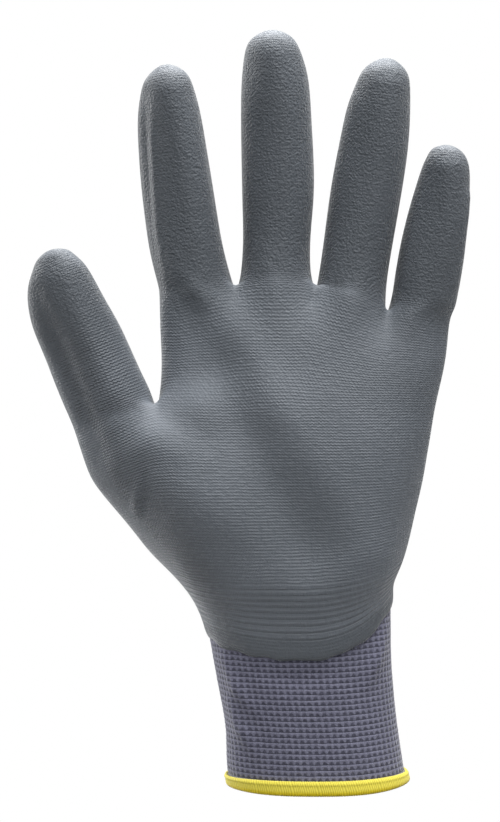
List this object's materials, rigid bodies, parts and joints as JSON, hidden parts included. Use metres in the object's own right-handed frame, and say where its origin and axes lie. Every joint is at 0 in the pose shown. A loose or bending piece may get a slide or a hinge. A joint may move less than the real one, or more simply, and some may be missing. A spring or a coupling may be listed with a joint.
{
  "type": "palm-coated knitted work glove, left hand",
  "caption": "Left-hand seamless knitted work glove with a grip coating over the palm and fingertips, a knitted wrist cuff and an overlocked hem.",
  "frame": {"origin": "middle of the wrist opening, at the foot of the cuff's hem", "axes": "+Z from the wrist opening to the fingertips, -Y out of the palm, -X towards the thumb"},
  "size_m": [0.1402, 0.0474, 0.2414],
  "materials": {
    "coating": "satin",
    "liner": "matte",
    "cuff": "matte",
    "hem": "matte"
  },
  "bodies": {
    "root": {"knit_cuff": "cuff", "hand_liner": "liner", "thumb_stall": "liner", "index_stall": "liner", "middle_stall": "liner", "ring_stall": "liner", "little_stall": "liner", "palm_coating": "coating", "cuff_hem": "hem"}
  },
  "joints": []
}
